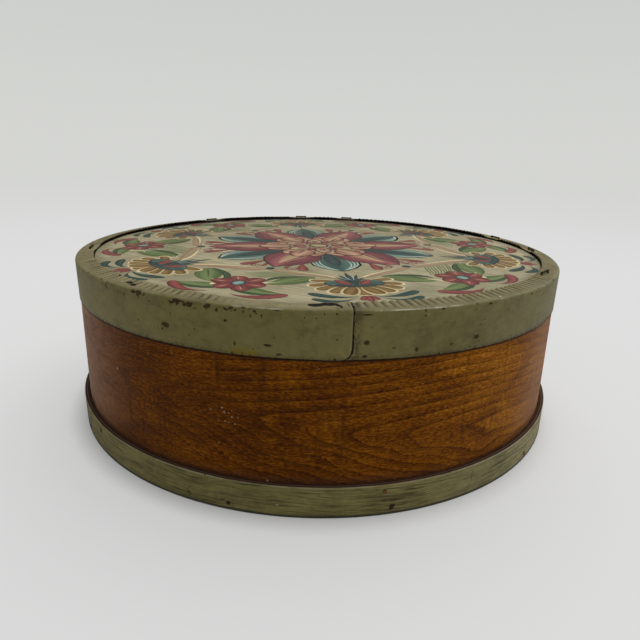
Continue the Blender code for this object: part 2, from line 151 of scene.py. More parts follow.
# How far the painter strayed from the even places, outwards in millimetres and round in degrees
PETALS_OFF = {0: (1, -1.2), 1: (1, 1.2), 5: (2.5, -3.6)}
FANS_OFF = {1: (7, 2.2), 5: (7, 0)}
# Shares of a stroke: nearly half, so that its ends keep a width, and a short way along
SHORT_OF_ENDS, NEARBY = 0.4995, 0.004
# How a stroke swells: the powers by which it widens from its root and narrows to its tip
LEAF, ROUND, TAIL, HEAD, LINE = (0.9, 1.05), (0.5, 0.5), (0.7, 1.5), (1.5, 0.36), (0.35, 0.35)
WEDGE, PETAL, PLUME, EVEN = (0.3, 1.0), (0.6, 0.36), (0.8, 0.9), (0.12, 0.12)
# The painter's colours, at a stroke's rim and in its middle, and how worn each is
INKS = {
    "shadow": ((0.04, 0.016, 0.018), (0.075, 0.032, 0.038), 0.3),
    "night": ((0.012, 0.026, 0.026), (0.03, 0.055, 0.052), 0.3),
    "petrol": ((0.006, 0.022, 0.018), (0.026, 0.064, 0.052), 0.2),
    "teal": ((0.082, 0.142, 0.112), (0.03, 0.068, 0.058), 0.36),
    "sea": ((0.115, 0.205, 0.17), (0.235, 0.35, 0.295), 0.4),
    "frost": ((0.27, 0.345, 0.29), (0.45, 0.53, 0.45), 0.45),
    "rose": ((0.105, 0.024, 0.03), (0.275, 0.088, 0.088), 0.36),
    "crimson": ((0.1, 0.018, 0.018), (0.24, 0.062, 0.052), 0.34),
    "straw": ((0.24, 0.16, 0.08), (0.44, 0.335, 0.19), 0.45),
    "tan": ((0.23, 0.15, 0.085), (0.33, 0.235, 0.145), 0.5),
    "peach": ((0.25, 0.105, 0.062), (0.5, 0.31, 0.2), 0.42),
    "ochre": ((0.1, 0.052, 0.012), (0.215, 0.132, 0.04), 0.32),
    "cream": ((0.46, 0.37, 0.2), (0.7, 0.6, 0.36), 0.36),
    "green": ((0.052, 0.08, 0.022), (0.15, 0.2, 0.072), 0.36),
    "moss": ((0.014, 0.03, 0.012), (0.045, 0.075, 0.03), 0.3),
}

# Camera, set back in front of the box and a little to its right
CAMERA_PLACE = Vector((0.00513, -0.44308, 0.20273))
CAMERA_DOWN, CAMERA_ROLL, CAMERA_TURN = 0.319, 0.027, -0.005
CAMERA_NEAREST = 0.01
FOCAL_PIXELS, FRAME_PIXELS, SENSOR = 520.0, 640.0, 36.0

# Floor, room and daylight
FLOOR_SIZE = 12.0
FLOOR_TONE = (0.7, 0.703, 0.702)
ROOM_TONE = (0.66, 0.668, 0.642)
ROOM_TONE_ABOVE = (0.605, 0.618, 0.595)
FILL_TONE = (0.34, 0.345, 0.35)
DAYLIGHT = (1.0, 0.985, 0.96)
# Name, direction, strength and spread in degrees
WINDOWS = (("window_above", (0.45, 0.75, 1.5), 2.1, 75.0), ("window_front", (0.75, -0.9, 0.7), 0.45, 90.0))


class Wire:
    """One socket in a material. Sums on wires add the Math nodes that work them out."""

    def __init__(self, socket):
        self.socket = socket

    def node(self, kind, inputs, output=0, **settings):
        """Adds any node beside this socket: its settings first, then the values or wires of its inputs."""
        made = self.socket.id_data.nodes.new("ShaderNode" + kind)
        for name, value in settings.items():
            if name == "stops":
                lay_stops(made.color_ramp, value)
            else:
                setattr(made, name, value)
        for name, value in inputs.items():
            feed(made.inputs[name], value)
        return Wire(made.outputs[output])

    def math(self, operation, *values):
        return self.node("Math", dict(enumerate((self, *values))), operation=operation)

    def __add__(self, other):
        return self.math("ADD", other)

    def __sub__(self, other):
        return self.math("SUBTRACT", other)

    def __rsub__(self, other):
        return (self * -1) + other

    def __mul__(self, other):
        return self.math("MULTIPLY", other)

    def __truediv__(self, other):
        return self.math("DIVIDE", other)

    def __pow__(self, other):
        return self.math("POWER", other)

    __radd__ = __add__
    __rmul__ = __mul__

    def step(self, low, high):
        """A smooth mask from 0 at low to 1 at high."""
        return self.node("MapRange", {"Value": self, "From Min": low, "From Max": high},
                         interpolation_type="SMOOTHSTEP")

    def past(self, place, start, end):
        """A smooth mask from 0 to 1 between two distances past a place, in millimetres."""
        return self.step(place + start * MM, place + end * MM)

    def bump(self, centre, reach):
        """A smooth mask that is 1 at centre and 0 from reach away."""
        return (self - centre).math("ABSOLUTE").step(reach, 0)

    def either(self, *others):
        """The greatest of this mask and the others."""
        greatest = self
        for other in others:
            greatest = greatest.math("MAXIMUM", other)
        return greatest

    def mix(self, off, on):
        """Of two colours, on where this mask is 1."""
        return self.node("Mix", {0: self, 6: off, 7: on}, 2, data_type="RGBA")

    def coats(self, *layers):
        """This colour with coats of others over it, each laid on by its mask."""
        tone = self
        for mask, colour in layers:
            tone = mask.mix(tone, colour)
        return tone

    def ramp(self, *stops):
        return self.node("ValToRGB", {"Fac": self}, stops=stops)

    def axis(self, index):
        return self.node("SeparateXYZ", {0: self}, index)

    def axes(self):
        return [self.axis(index) for index in range(3)]

    def length(self):
        return self.node("VectorMath", {0: self}, 1, operation="LENGTH")

    def join(self, second, third):
        return self.node("CombineXYZ", {0: self, 1: second, 2: third})

    def times(self, x, y, z):
        """This point with its coordinates stretched."""
        return self.node("VectorMath", {0: self, 1: (x, y, z)}, operation="MULTIPLY")

    def noise(self, scale, detail=3.0, rough=0.55, warp=0.0):
        return self.node("TexNoise", {"Vector": self, "Scale": scale, "Detail": detail,
                                      "Roughness": rough, "Distortion": warp})

    def grain(self, x, y, detail=3.0, rough=0.6, z=0):
        """Noise drawn out into fibres, so many to the metre along each axis."""
        return self.times(x, y, z).noise(1, detail, rough)

    def attribute(self, name):
        return self.node("Attribute", {}, 2, attribute_name=name)


def feed(socket, value):
    if isinstance(value, Wire):
        socket.id_data.links.new(value.socket, socket)
    elif socket.type == "RGBA":
        socket.default_value = (*value, 1)
    else:
        socket.default_value = value


def lay_stops(ramp, stops):
    while len(ramp.elements) < len(stops):
        ramp.elements.new(1.0)
    for element, (place, colour) in zip(ramp.elements, stops):
        element.position = place
        element.color = (*colour, 1)


def new_finish(name):
    """A material and the wire of its point on the object."""
    material = bpy.data.materials.new(name)
    material.use_nodes = True
    nodes = material.node_tree.nodes
    return material, Wire(nodes.new("ShaderNodeTexCoord").outputs["Object"])


def set_surface(material, colour, roughness, relief=None, depth=0.2 * MM, metal=0.0, shine=0.22):
    shader = material.node_tree.nodes["Principled BSDF"]
    feed(shader.inputs["Base Color"], colour)
    feed(shader.inputs["Roughness"], roughness)
    feed(shader.inputs["Metallic"], metal)
    shader.inputs["Specular IOR Level"].default_value = shine
    if relief is not None:
        bump = relief.node("Bump", {"Height": relief, "Distance": depth})
        feed(shader.inputs["Normal"], bump)
    return material


def unrolled(point, lap, radius):
    """A bent strip's point laid flat: metres along it from opposite its lap, height, distance from the axis.
    With it comes the function that says how far along the strip an angle round the box lies."""
    x, y, z = point.axes()
    ahead = x * cos(radians(lap)) + y * sin(radians(lap))
    aside = y * cos(radians(lap)) - x * sin(radians(lap))
    turned = (aside * -1).math("ARCTAN2", ahead * -1)
    out = (x * x + y * y) ** 0.5

    def at(angle):
        return radians((angle - lap) % 360 - 180) * radius

    return (turned * radius).join(z, out), at


def spot(strip, place, size, ragged, stretch):
    """A ragged mark on a strip at (along, height), as a mask, stretched along the strip."""
    noisy = strip.noise(0.9 / size, 2)
    across = ((strip.axis(0) - place[0]) / stretch) ** 2.0 + (strip.axis(1) - place[1]) ** 2.0
    return (across ** 0.5 / size + (noisy - 0.5) * (2 * ragged)).step(1.0, 0.7)


def nearness(along, across, at, marks):
    """How near a point of a strip is to the nearest of the marks: 1 at its middle, 0 from its rim on."""
    near = []
    for angle, place, size, stretch in marks:
        aside = (along - at(angle)) / (size * stretch * MM)
        above = (across - place * MM) / (size * MM)
        near.append(1 - (aside * aside + above * above))
    return near[0].either(*near[1:], 0.0)


def flat_sawn_flame(strip, at, wander):
    """The late wood of flat-sawn veneer: dark arches, faint to the left, that fade out to the right."""
    along, height, _ = strip.axes()
    ahead = along - at(FLAME_APEX)
    rise = (height - FLAME_HEIGHT + ahead * 0.11 + wander * 0.016) / FLAME_WIDTH
    closing = (ahead.either(0.0) / FLAME_LENGTH) ** 2.0
    rings = ahead / FLAME_SPACING - closing - (rise * rise + 1.0) ** 0.5 + wander * 1.8
    wide_ring, fine_ring = rings.math("FRACT"), (rings * 4.0 + wander * 2.0).math("FRACT")
    late = wide_ring.step(0.74, 0.93) * 0.42 + wide_ring.step(0.1, 0.95) * 0.58
    late = late * wide_ring.step(1.0, 0.93) + fine_ring.step(0.3, 0.8) * fine_ring.step(1.0, 0.8) * 0.1
    broken = strip.times(1, 1.5, 0).noise(24, 3).step(0.3, 0.62)
    flamed = along.step(at(-118.0), at(-88.0))
    return late * (broken * 0.65 + 0.35) * (flamed * 0.6 + 0.4) * (1 - ahead.step(0.2, 0.3) * 0.85)


def varnished_veneer():
    """Red-brown varnished veneer: short fibres, a faint flame, bend marks, painted sheen and dust at its
    sides, painted sheen above the hoop and below the band, painted shadow under the band, a bare inside.
    """
    material, point = new_finish("varnished_veneer")
    strip, at = unrolled(point, WALL_LAP, WALL_FOOT_RADIUS)
    along, height, out = strip.axes()
    wander = strip.times(1, 2.2, 0).noise(13, 2) - 0.5
    late = flat_sawn_flame(strip, at, wander)
    fibre = along.join(height + wander * 0.01 + late * 0.0012, out * 0).grain(330, 1150, rough=0.7)
    fibre = fibre.step(0.32, 0.66)
    threads = along.join(height + wander * 0.018, out * 0).grain(44, 520)
    clouds = strip.times(1, 1.9, 0).noise(19, 4, 0.62, 0.8)
    warm = along.bump(at(-32.0), 0.27)
    tone = (fibre * 0.23 + threads * 0.26 + clouds * 0.44 + warm * 0.2 - late * 0.19 - 0.065).ramp(
        (0.22, (0.034, 0.0085, 0.0004)), (0.4, (0.096, 0.0265, 0.0006)),
        (0.56, (0.2, 0.065, 0.0012)), (0.8, (0.45, 0.185, 0.011)))

    bend_marks = strip.times(1, 0.05, 0).noise(120, 2, 0.7).step(0.54, 0.7) * clouds.step(0.34, 0.58)
    # Painted sheen, with dust, at the wall's left and right sides, where they turn away from the front
    side_sheen_and_dust = along.bump(at(-147.0), 0.08) * 0.62 + along.bump(at(-35.0), 0.05) * 0.52
    speckled = strip.times(0.5, 1, 0).noise(230, 3, 0.7).step(0.4, 0.6)
    patch = along.bump(at(-104.6), 0.022) * height.bump(61 * MM, 0.013)
    flecks = (strip.noise(480, 1) + patch * 0.17).step(0.815, 0.84)
    chips = nearness(along, height, at, VARNISH_CHIPS).step(0.2, 1.0)
    inside = out.past(WALL_FOOT_RADIUS - WALL_FLARE, -1.0, -1.6)
    bare = (threads * 0.6 + fibre * 0.12 + clouds * 0.35 - late * 0.12).ramp(
        (0.25, (0.21, 0.115, 0.05)), (0.5, (0.36, 0.225, 0.11)), (0.8, (0.48, 0.33, 0.18)))
    tone = tone.coats(
        (bend_marks * 0.52, (0.03, 0.01, 0.001)),
        (side_sheen_and_dust * (0.05 + clouds + fibre * 0.2 + speckled * 0.55), (0.265, 0.134, 0.07)),
        # Painted sheen: greyish pink just above the hoop and just below the band
        (height.past(0, 27, 20) * 0.42 + height.past(0, 94, 98) * 0.25, (0.078, 0.037, 0.027)),
        # Painted shadow: near black on the wall just under the band's foot
        (height.past(BAND_FOOT, -2.0, -0.7) * 0.88, (0.01, 0.005, 0.003)),
        (flecks.either(chips) * 0.6, (0.5, 0.4, 0.29)),
        (along.math("ABSOLUTE").past(pi * WALL_FOOT_RADIUS, -1.0, -0.4) * 0.8, (0.012, 0.006, 0.004)),
        (inside, bare))
    relief = fibre * 0.15 + threads * 0.35 + clouds * 0.5 - bend_marks * 0.4 - late * 0.2
    gloss = 0.44 + fibre * 0.06 + clouds * 0.1 + inside * 0.25
    return set_surface(material, tone, gloss, relief, 0.16 * MM, shine=0.04)


def olive(point, grime, dark, light):
    """Green-brown oil paint, drifting from dark to light, with grime over it."""
    drift = point.noise(16, 5, 0.6)
    mottle = point.noise(260, 3, 0.6)
    clean = (drift * 0.6 + mottle * 0.4).ramp((0.34, dark), (0.66, light))
    return grime.mix(clean, (0.035, 0.025, 0.008))


def olive_relief(point):
    return point.noise(900, 3) * 0.25 + point.noise(180, 3) * 0.5


def tin_paint(point, strip, dirt, flange, foot):
    """Olive paint of the band: greyer to the right, darker in the grooves of its pleats and grimy at its
    foot, paler on the crests of its flange.
    """
    along, _, out = strip.axes()
    crest = point.attribute("crest")
    share = out.past(BAND_RADIUS, -2.5, -7)
    # Darker in the grooves of the flange's pleats
    hollow = (1 - crest).step(0.3, 1.0) * share * flange
    brushed = strip.times(0.45, 1, 1).noise(130, 4, 0.7)
    grime = (hollow * 0.55 + dirt.step(0.5, 0.74) * 0.38 + brushed.step(0.5, 0.68) * 0.26 + foot * 0.2
             + flange * strip.noise(80, 4).step(0.46, 0.76) * 0.34)
    left = olive(strip, grime, (0.112, 0.096, 0.03), (0.166, 0.145, 0.05))
    right = olive(strip, grime, (0.122, 0.112, 0.044), (0.19, 0.174, 0.08))
    top = olive(strip, grime, (0.122, 0.103, 0.044), (0.205, 0.176, 0.084))
    # Paler on the crests of the flange's pleats
    crest_paling = flange * crest.step(0.5, 1.0) * share * (0.35 + strip.noise(90, 4).step(0.38, 0.66) * 0.5)
    return left.coats((along.step(-0.02, 0.22), right), (flange, top), (crest_paling * 0.58, (0.3, 0.262, 0.132)))


def tin_seam(strip, dirt, fine, flange, lower_end):
    """Masks of the front lap: the dark gap at the upper end's edge, the dark brown beside it, the rubbed lip.
    """
    along, height, _ = strip.axes()
    corner = height * -1 + (BAND_FOOT + SEAM_CORNER)
    past_end = ((along + SEAM_CORNER).either(0.0) ** 2.0 + corner.either(0.0) ** 2.0) ** 0.5 - SEAM_CORNER
    uneven = past_end + (strip.noise(260, 3) - 0.5) * 3.4 * MM
    gap = lower_end * (uneven - flange * 0.5 * MM).past(0, 1.15, 0.7)
    smear = lower_end * along.bump(2.5 * MM, 5 * MM) * (dirt * 0.6 + fine * 0.6).step(0.5, 0.66)
    lip = (1 - lower_end) * past_end.past(0, -1.3, -0.6) * along.bump(0, 6 * MM)
    return gap, smear, lip


def tin_rust(strip, at, fine, foot):
    """Masks of the skirt's rust, in specks, chips, patches and a scratch, and of the brown round it."""
    along, height, out = strip.axes()
    near_bend = height.past(BAND_TOP, -6.5, -1.5) * out.past(BAND_RADIUS, -3, 0)
    rusty_side = along.bump(at(-117.0), 0.105)
    clumps = strip.noise(130, 2).step(0.44, 0.62)
    speckle = strip.noise(430, 1) * 0.7 + fine * 0.3
    crowded = near_bend * (rusty_side * 0.13 + 0.07) * clumps
    specks = (speckle + crowded + rusty_side * 0.012).step(0.668, 0.7)
    sparse = (fine + strip.noise(14, 2).step(0.5, 0.7) * 0.03).step(0.735, 0.765)
    flaked = (fine + foot * 0.07 + along.step(0.02, 0.16) * 0.035).step(0.62, 0.66)
    chips = flaked * height.past(BAND_FOOT, 5, 0)
    patches = nearness(along, height, at, RUSTY_PATCHES)
    broken = (patches * 0.32 + fine * 0.6 + strip.noise(1100, 3, 0.7) * 0.6).step(0.76, 0.83)
    scratch = spot(strip, (at(-81.4), 122.0 * MM), 0.55 * MM, 0.2, 6.0)
    spread = patches.step(0.0, 1.0) * 0.35 + near_bend * rusty_side * clumps * 0.2
    return specks.either(sparse, chips, broken, scratch), spread


def painted_tin():
    """Olive paint on tin: rust under the bend, a chipped foot, darker pleat grooves, a dark lap, a painted
    highlight on the bend, painted shadow in slits at the front and on the torn left side, painted shade along
    the flange's back edge.
    """
    material, point = new_finish("painted_tin")
    strip, at = unrolled(point, SEAM + 180, BAND_RADIUS)
    along, height, out = strip.axes()
    flange = out.past(BAND_RADIUS, -1.2, -2.6) * height.past(BAND_TOP, -3, -1)
    foot = height.past(BAND_FOOT, 3, 0)
    fine = strip.noise(520, 4, 0.75, 0.3)
    dirt = strip.noise(46, 5, 0.75)
    stain = spot(strip, (at(-100.8), 99.0 * MM), 2.6 * MM, 0.8, 3.4)
    lower_end = point.node("UVMap", {}, uv_map="run").axis(0).step(0.03, 0.025)
    gap, smear, lip = tin_seam(strip, dirt, fine, flange, lower_end)
    rust, spread = tin_rust(strip, at, fine, foot)
    rust_tone = strip.noise(600, 3).ramp((0.35, (0.01, 0.006, 0.003)), (0.65, (0.06, 0.026, 0.009)))
    # Painted highlight: a broken pale line along the tin's bend, brightest in two stretches
    edge = height.bump(BAND_TOP - 0.3 * MM, 0.42 * MM) * out.past(BAND_RADIUS, -2.4, -1.0)
    highlight_along_bend = along.bump(at(-71.5), 0.048).either(along.bump(at(-99.0), 0.03) * 0.7)
    rubbed = edge * (strip.times(1, 0, 0).noise(60, 4, 0.7) + highlight_along_bend * 0.2).step(0.52, 0.8)
    flecks = strip.noise(300, 1).step(0.81, 0.825)
    # Painted shadow in the slits: black in place of the shade under the torn and lifted flange
    slit_shadow = (nearness(along, out, at, SLIT_SHADOWS) + fine * 0.3).step(0.2, 0.3) * flange
    gap_and_slit_shadow = gap.either(slit_shadow)
    # Painted shade: the dark rusty raw edge of the flange widens towards the back into near black, standing
    # in for the shade of its raised inner edge there
    back_shade_reach = point.axis(1).step(0.05, 0.14) * (dirt * 3.5 * MM + 0.8 * MM)
    raw_edge_and_shade = (out - back_shade_reach).past(FLANGE_INNER, 0.3, 0.05)
    under = out.past(BAND_RADIUS, -0.25, -0.4) * height.past(BAND_TOP, -2, -3)
    tone = tin_paint(point, strip, dirt, flange, foot).coats(
        (stain * 0.75, (0.15, 0.11, 0.008)),
        (smear * 0.75, (0.042, 0.03, 0.011)),
        (lip * 0.26, (0.215, 0.2, 0.12)),
        (spread, (0.085, 0.055, 0.018)),
        (rust * 0.92, rust_tone),
        # painted highlight along the bend
        (rubbed * 0.62, (0.62, 0.59, 0.47)),
        (flecks * 0.6, (0.6, 0.58, 0.48)),
        (gap_and_slit_shadow, (0.007, 0.005, 0.002)),
        (raw_edge_and_shade * 0.85, (0.02, 0.014, 0.009)),
        (under, (0.16, 0.145, 0.125)))
    relief = olive_relief(strip) - rust * 0.9 - slit_shadow - gap + strip.noise(42, 2) * 1.2
    gloss = 0.46 + strip.noise(70, 4) * 0.22 + rust * 0.3 + flange * 0.12 + gap_and_slit_shadow * 0.4
    return set_surface(material, tone, gloss, relief, 0.14 * MM, shine=0.14)


def raw_tin_edge():
    material, point = new_finish("raw_tin_edge")
    tone = point.noise(420, 4).ramp((0.3, (0.01, 0.007, 0.005)), (0.7, (0.055, 0.026, 0.014)))
    return set_surface(material, tone, 0.85, point.noise(900, 3), 0.1 * MM)


def painted_hoop():
    """Olive paint over open wood grain, rubbed through at the edges, with a bare dark top edge and a painted
    shadow along its foot.
    """
    material, point = new_finish("painted_hoop")
    strip, at = unrolled(point, HOOP_LAP, HOOP_RADIUS)
    along, height, out = strip.axes()
    wander = strip.noise(10, 2) - 0.5
    sloping = along.join(height + wander * 0.01 + along * 0.012, out * 0)
    grain = sloping.grain(60, 1400, rough=0.62)
    lines = grain.step(0.5, 0.6) * 0.5 + sloping.grain(24, 850).step(0.53, 0.6) * 0.55
    rim = height.bump(HOOP_HIGH.z - 0.3 * MM, 0.9 * MM) + height.bump(0, 1.4 * MM)
    scuffed = strip.times(1, 4, 0).noise(120, 4, 0.7).step(0.6, 0.72)
    grime = lines * 0.76 + strip.noise(34, 4, 0.7).step(0.5, 0.76) * 0.3
    dark_paint = olive(strip, grime, (0.142, 0.119, 0.036), (0.24, 0.206, 0.078))
    light_paint = olive(strip, grime, (0.18, 0.16, 0.068), (0.31, 0.28, 0.14))
    chips = (strip.noise(300, 3, 0.7) + rim * 0.05).step(0.71, 0.75)
    crack = along.bump(at(-59.0), 0.45 * MM) * height.bump(13 * MM, 6 * MM)
    lap_end = along.math("ABSOLUTE").past(pi * HOOP_RADIUS, -1.4, -0.6)
    dents = nearness(along, height, at, HOOP_DENTS).step(0.1, 0.5)
    pale = nearness(along, height, at, HOOP_PALE_DENT).step(0.2, 1.0)
    bare = height.past(HOOP_HIGH.z, -0.4, -0.12) * out.past(HOOP_RADIUS, -0.1, -0.7)
    ply = out.bump(HOOP_RADIUS - 0.5 * HOOP_THICKNESS, 0.8 * MM) * 0.7
    tone = dark_paint.coats(
        (along.bump(at(-42.0), 0.12), light_paint),
        (scuffed * 0.3, (0.3, 0.272, 0.15)),
        (rim * strip.noise(60, 3).step(0.3, 0.55) * 0.5, (0.38, 0.345, 0.22)),
        # Painted shadow: near black along the hoop's foot
        (height.past(0, 2.4, 1.2) * 0.9, (0.03, 0.031, 0.022)),
        (chips * 0.85, (0.03, 0.018, 0.009)),
        (crack.either(lap_end, dents) * 0.9, (0.012, 0.008, 0.005)),
        (pale * 0.5, (0.4, 0.36, 0.27)),
        (bare, ply.mix((0.02, 0.009, 0.006), (0.15, 0.075, 0.052))),
        (out.past(HOOP_RADIUS - HOOP_THICKNESS, 0.4, 0.1), (0.13, 0.075, 0.035)))
    relief = lines * -0.9 + scuffed * 0.2 - chips * 0.6 - crack + olive_relief(strip) * 0.4
    return set_surface(material, tone, 0.54 + grain * 0.22 + bare * 0.2, relief, 0.28 * MM, shine=0.14)


def turned_grain(point):
    """The point with its x axis laid along the grain of the lid's board."""
    return point.node("VectorRotate", {"Vector": point, "Angle": radians(30)}, rotation_type="Z_AXIS")


def painted_shade_and_wear(point):
    """How far the lid's top is darkened by painted shade and worn, from 0 at the front right to 1 at the back
    left.
    """
    return (point.axis(1) * 0.8 - point.axis(0) * 0.45).step(-0.09, 0.19)


def painted_board():
    """Drab green-grey ground of the lid: fine grain, rubbed streaks, a grimy rim, painted shade towards the
    back left, a painted shadow along the flange, a bare underside.
    """
    material, point = new_finish("painted_board")
    turned = turned_grain(point)
    grain = turned.grain(60, 900, 4, 0.62)
    streaks = turned.grain(16, 260, 4, 0.62)
    clouds = point.noise(20, 5, 0.62)
    out = point.times(1, 1, 0).length()
    grime = out.past(FLANGE_INNER, -9, -2) * 0.35 + point.noise(60, 5, 0.75).step(0.54, 0.74) * 0.38
    pits = point.noise(420, 4, 0.7).step(0.64, 0.7) * 0.5
    # Painted shadow: near black on the board along the flange's inner edge, reaching further and raggedly
    # towards the back
    flange_shadow_reach = point.axis(1).step(0.02, 0.12) * (point.noise(330, 2) * 4 * MM + 6 * MM)
    bare = (streaks * 0.6 + grain * 0.4).ramp((0.3, (0.2, 0.125, 0.062)), (0.7, (0.42, 0.295, 0.165)))
    # Painted shade: the ground darkens towards the back left
    tone = (grain * 0.5 + streaks * 0.38 + clouds * 0.36 - painted_shade_and_wear(point) * 0.09 - 0.03).ramp(
        (0.32, (0.126, 0.106, 0.066)), (0.52, (0.286, 0.252, 0.155)), (0.72, (0.47, 0.418, 0.272)))
    tone = tone.coats(
        (point.noise(16, 5, 0.7).step(0.44, 0.64) * 0.5, (0.19, 0.192, 0.112)),
        (grime.either(pits), (0.075, 0.058, 0.028)),
        ((out + flange_shadow_reach).past(FLANGE_INNER, -1.0, -0.2), (0.006, 0.005, 0.004)),
        (point.axis(2).past(BOARD_TOP, -1.2, -1.8), bare))
    relief = grain * 0.6 + streaks * 0.6
    return set_surface(material, tone, 0.58 + grain * 0.2, relief, 0.16 * MM, shine=0.05)


def bare_board():
    """Sawn pine of the bottom, browned with age."""
    material, point = new_finish("bare_board")
    wander = point.noise(12, 2) - 0.5
    bent = point.axis(0).join(point.axis(1) + wander * 0.02, point.axis(2))
    rings = bent.grain(3, 150, 3, 0.5, z=20)
    fibre = point.grain(30, 900, 4, 0.6, z=300)
    tone = (rings * 0.7 + fibre * 0.3).ramp(
        (0.3, (0.135, 0.075, 0.034)), (0.5, (0.285, 0.18, 0.09)), (0.7, (0.395, 0.27, 0.15)))
    tone = (point.noise(22, 5, 0.7).step(0.52, 0.76) * 0.5).mix(tone, (0.07, 0.042, 0.022))
    return set_surface(material, tone, 0.72, fibre * 0.6 + rings * 0.5, 0.25 * MM)


def iron(name, rusted):
    """Iron of nails and tacks, from a black skin to orange rust."""
    material, point = new_finish(name)
    tone = (point.noise(520, 4, 0.65) + rusted).ramp(
        (0.34, (0.012, 0.008, 0.006)), (0.56, (0.07, 0.03, 0.015)), (0.78, (0.36, 0.11, 0.025)))
    return set_surface(material, tone, 0.78, point.noise(1400, 3), 0.12 * MM, metal=0.2)


def painted_nail():
    """A nail's head under the hoop's olive paint, cracked round in a dark ring."""
    material, point = new_finish("painted_nail")
    ring = point.attribute("outward").step(0.45, 0.72) * 0.95
    worn = point.noise(700, 3).step(0.52, 0.62) * 0.6
    tone = olive(point, ring.either(worn), (0.118, 0.1, 0.034), (0.2, 0.174, 0.074))
    return set_surface(material, tone, 0.6, point.noise(900, 3), 0.1 * MM, shine=0.12)


def painted_wire():
    """Staples under the lid's olive paint, rusting through it; the olive is given darker than the band's as
    painted shade.
    """
    material, point = new_finish("painted_wire")
    rust = point.noise(380, 4, 0.65).step(0.38, 0.58)
    # Painted shade: an olive darker than the band's
    tone = olive(point, rust * 0.85, (0.036, 0.03, 0.014), (0.082, 0.07, 0.034))
    return set_surface(material, tone, 0.85, point.noise(900, 3), 0.1 * MM, shine=0.04)


def oil_paint(name, rim, middle, worn):
    """One colour of the ornament, from a stroke's rim to its middle, worn in streaks, dirty along its rubbed
    grain and darker with painted shade towards the back left.
    """
    material, point = new_finish(name)
    brush = point.node("UVMap", {}, uv_map="brush")
    share, side = brush.axis(0), brush.axis(1)
    streaks = brush.grain(2.2, 9) - 0.5
    body = side.bump(0.45, 0.55) * 0.66 + share * 0.22 + streaks * 0.85 + 0.04
    rubbed = turned_grain(point).grain(40, 520, 5, 0.7)
    shade_and_wear = painted_shade_and_wear(point)
    loss = (rubbed * 0.75 + point.noise(55, 4, 0.6) * 0.45 + shade_and_wear * 0.06).step(0.66, 0.8) * worn
    tone = body.ramp((0.1, rim), (0.9, middle)).coats(
        (loss, (0.235, 0.2, 0.112)),
        # Painted shade towards the back left, and dirt along the rubbed grain
        (shade_and_wear * 0.3 + rubbed.step(0.52, 0.66) * 0.24, (0.08, 0.066, 0.044)))
    return set_surface(material, tone, 0.54 + rubbed * 0.16, rubbed - loss, 0.08 * MM, shine=0.05)


def mesh_of(bm, name):
    mesh = bpy.data.meshes.new(name)
    bm.to_mesh(mesh)
    bm.free()
    return mesh


def in_scene(name, data):
    """A new object of the scene."""
    made = bpy.data.objects.new(name, data)
    bpy.context.scene.collection.objects.link(made)
    return made


def shaded(bm, name, finishes, body, stands_for=(), angle=40):
    """Turns a bmesh into a finished piece that rides on its body."""
    mesh = mesh_of(bm, name)
    for material in finishes:
        mesh.materials.append(material)
    mesh.shade_smooth()
    mesh.set_sharp_from_angle(angle=radians(angle))
    piece = in_scene(name, mesh)
    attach(piece, body)
    if stands_for:
        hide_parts(*stands_for)
    return piece


def face_out(bm):
    bmesh.ops.recalc_face_normals(bm, faces=bm.faces[:])


def sheet(bm, along, across, place):
    """A grid of faces whose corners go where place(row along, row across) says. Its UVs are shares of it."""
    made = bmesh.ops.create_grid(bm, x_segments=along, y_segments=across, size=0.5, calc_uvs=True)
    for corner in made["verts"]:
        corner.co = place(round((corner.co.x + 0.5) * along), round((corner.co.y + 0.5) * across))


def lathe(profile, steps):
    """A closed body turned round +Z from a profile of (radius, height)."""
    bm = bmesh.new()
    points = [bm.verts.new((radius, 0, height)) for radius, height in profile]
    edges = [bm.edges.new(pair) for pair in zip(points, points[1:])]
    bmesh.ops.spin(bm, geom=points + edges, cent=(0, 0, 0), axis=(0, 0, 1), angle=2 * pi, steps=steps,
                   use_merge=True)
    bmesh.ops.remove_doubles(bm, verts=bm.verts[:], dist=0.001 * MM)
    face_out(bm)
    return bm


def on_round(radius, angle, z):
    return Vector((radius * cos(radians(angle)), radius * sin(radians(angle)), z))


def even_places(start, end, count):
    return [start + (end - start) * k / count for k in range(count + 1)]


def share_between(value, start, end):
    """How far a value has come from start to end, kept between 0 and 1."""
    return min(max((value - start) / (end - start), 0), 1)


def bent_strip(start, lap_width, tip, height, thickness, outer_at, rows, ease):
    """A strip bent round with scarfed ends: the outer tail thins to its tip over the inner tail."""
    end = start + 360 + lap_width
    stations = even_places(start, end, STRIP_STEPS)
    for scarf in (start + lap_width, end - lap_width):
        stations += [scarf - SCARF_STEP, scarf + SCARF_STEP]
    stations.sort()
    layers = even_places(0, height, rows)
    layers = [ease * 0.3, *layers[1:-1], height - ease * 0.3]
    ring = [(1, 0.0, ease), *((1, z, 0.0) for z in layers), (1, height, ease), (0, height, ease)]
    ring += [(0, z, 0.0) for z in reversed(layers)] + [(0, 0.0, ease)]

    def place(column, row):
        angle = stations[column]
        outside, z, inset = ring[row % len(ring)]
        outer = outer_at(z)
        inner = outer - thickness
        if angle < start + lap_width:
            share = (angle - start) / lap_width
            outer = inner + tip + (thickness - 2 * tip) * share - SCARF_GAP
        if angle > end - lap_width:
            share = (angle - end + lap_width) / lap_width
            inner = inner + tip + (thickness - 2 * tip) * share + SCARF_GAP
        return on_round(outer - inset if outside else inner + inset, angle, z)

    bm = bmesh.new()
    sheet(bm, len(stations) - 1, len(ring), place)
    bmesh.ops.remove_doubles(bm, verts=bm.verts[:], dist=0.002 * MM)
    bmesh.ops.holes_fill(bm, edges=bm.edges[:])
    face_out(bm)
    return bm


